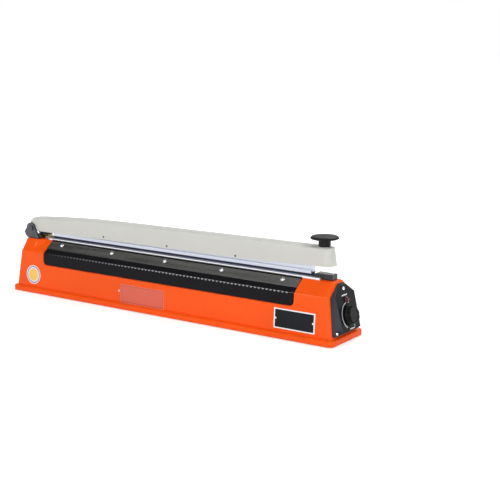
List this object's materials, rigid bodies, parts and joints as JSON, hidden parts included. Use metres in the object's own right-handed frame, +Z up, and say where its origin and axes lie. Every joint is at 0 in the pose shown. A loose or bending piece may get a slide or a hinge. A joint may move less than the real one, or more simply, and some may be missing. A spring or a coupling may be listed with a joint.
{
  "type": "impulse heat sealer",
  "caption": "Table-top impulse heat sealer: long wedge-shaped housing with a heated sealing line, a hinged press arm with a round press knob, and an end panel with a timer knob and lamp.",
  "frame": {"origin": "on the floor under the middle of the housing's flange", "axes": "+X along the sealing line from the hinge to the press knob, +Y from front to back, +Z up"},
  "size_m": [0.6626, 0.095, 0.1549],
  "materials": {
    "orange_paint": "gloss powder coat",
    "ivory_paint": "satin powder coat",
    "black_paint": "satin paint",
    "grey_steel": "satin plating",
    "stainless": "brushed",
    "aluminium": "extruded",
    "brass": "bare",
    "copper": "varnished wire",
    "black_plastic": "fine grain",
    "red_lens": "clear gloss",
    "black_rubber": "matte",
    "tan_cloth": "coated cloth",
    "core_steel": "varnished laminations",
    "green_board": "satin",
    "blue_plastic": "moulded"
  },
  "bodies": {
    "base": {"base_housing": "orange_paint", "front_plate": "black_paint", "hinge_bracket": "grey_steel", "clamp_strip": "stainless", "clamp_screws": "stainless", "hinge_pin": "stainless", "terminal_screws": "stainless", "terminal_cover_screw": "stainless", "panel_screws": "stainless", "bottom_plate": "stainless", "bottom_plate_screws": "stainless", "return_spring": "stainless", "heating_element": "stainless", "sealing_platform": "aluminium", "left_terminal": "brass", "right_terminal": "brass", "hinge_screws": "brass", "transformer_winding": "copper", "control_panel": "black_plastic", "terminal_cover": "black_plastic", "timer_potentiometer": "black_plastic", "micro_switch": "black_plastic", "board_spacers": "black_plastic", "indicator_lamp": "red_lens", "rubber_feet": "black_rubber", "cable_gland": "black_rubber", "insulation_tape": "tan_cloth", "cover_sheet": "tan_cloth", "transformer_core": "core_steel", "timer_board": "green_board", "timer_relay": "blue_plastic"},
    "arm": {"arm_shell": "ivory_paint", "press_bar": "aluminium", "rubber_strip": "black_rubber", "press_bar_pins": "stainless", "press_knob": "black_plastic", "press_knob_screw": "stainless", "pivot_bush": "stainless", "switch_striker": "stainless"},
    "timer": {"timer_knob": "black_plastic", "timer_shaft": "stainless"},
    "plunger": {"switch_plunger": "black_plastic"}
  },
  "joints": [
    {"name": "arm_hinge", "type": "hinge", "parent": "base", "child": "arm", "pos_m": [-0.304, 0, 0.108], "axis": [0, -1, 0], "range_deg": [0, 35], "deforming": ["return_spring"]},
    {"name": "timer_turn", "type": "hinge", "parent": "base", "child": "timer", "pos_m": [0.32558, 0, 0.04106], "axis": [0.969, 0, 0.247], "range_deg": [-140, 140]},
    {"name": "plunger_slide", "type": "slide", "parent": "base", "child": "plunger", "axis": [0, 0, 1], "range_m": [0, 0.0025]}
  ],
  "couplings": [
    {"joint": "plunger_slide", "follows": "arm_hinge", "m_per_rad": 0.00409}
  ]
}
